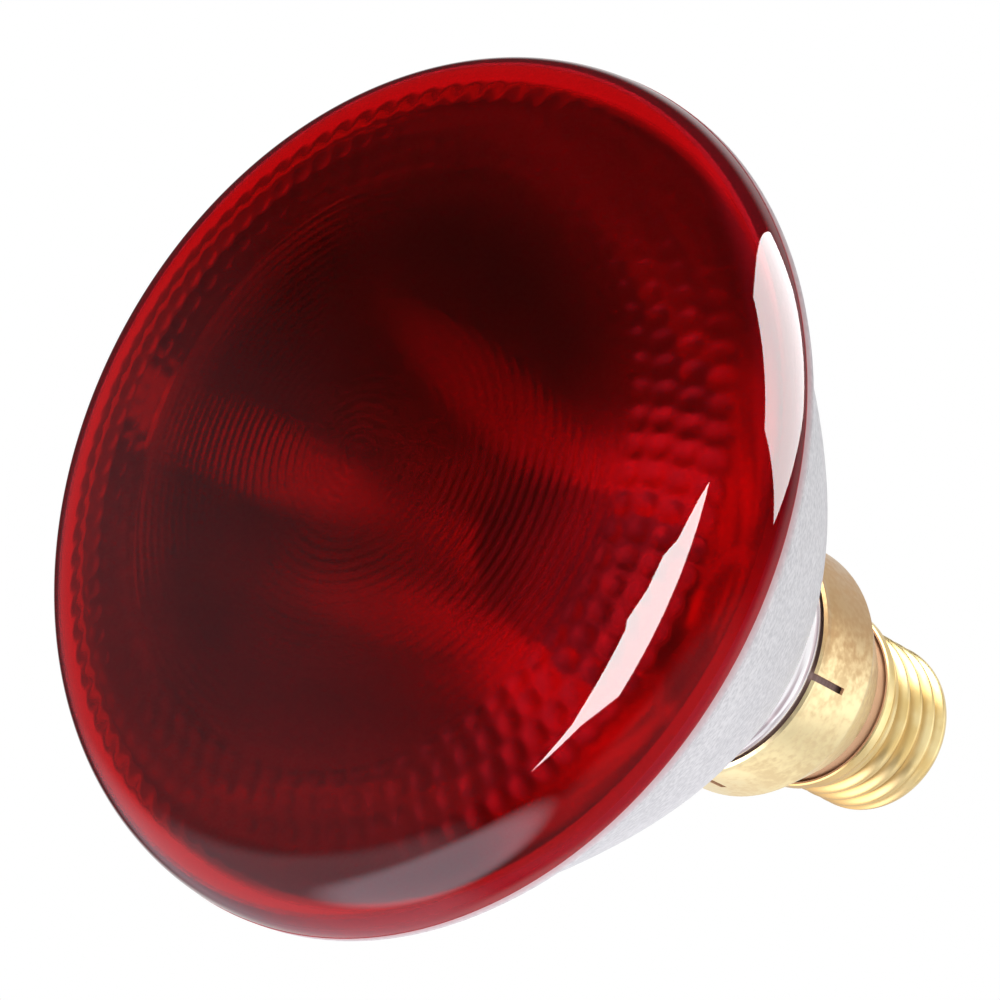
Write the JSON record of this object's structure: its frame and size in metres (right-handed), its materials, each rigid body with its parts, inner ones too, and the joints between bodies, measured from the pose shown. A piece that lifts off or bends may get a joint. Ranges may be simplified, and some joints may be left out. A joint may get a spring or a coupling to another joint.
{
  "type": "infrared heat lamp bulb",
  "caption": "Reflector heat lamp: a domed ruby glass lens sealed to a silvered parabolic glass bowl, on a brass skirted screw cap with an end contact.",
  "frame": {"origin": "centre of the end contact's face", "axes": "+Z along the lamp's axis from the end contact to the lens; -Y towards the middle of one of the skirt's slits"},
  "size_m": [0.121, 0.121, 0.136],
  "materials": {
    "ruby_glass": "clear pressed glass, red all through, stippled inside",
    "silvered_glass": "pressed glass, mirrored inside and satin silver outside",
    "cap_brass": "drawn sheet brass, dulled and mottled",
    "insulator_glass": "black glass",
    "contact_brass": "pressed plate, dull",
    "solder": "dull solder",
    "ferrule_metal": "plain metal thimble",
    "wire_metal": "drawn wire",
    "filament_metal": "dark drawn tungsten"
  },
  "bodies": {
    "root": {"lens": "ruby_glass", "reflector": "silvered_glass", "skirt": "cap_brass", "screw_shell": "cap_brass", "insulator": "insulator_glass", "centre_contact": "contact_brass", "contact_solder": "solder", "ferrule_live": "ferrule_metal", "ferrule_return": "ferrule_metal", "post_live": "wire_metal", "post_return": "wire_metal", "filament": "filament_metal", "lead_live": "wire_metal", "lead_return": "wire_metal"}
  },
  "joints": []
}
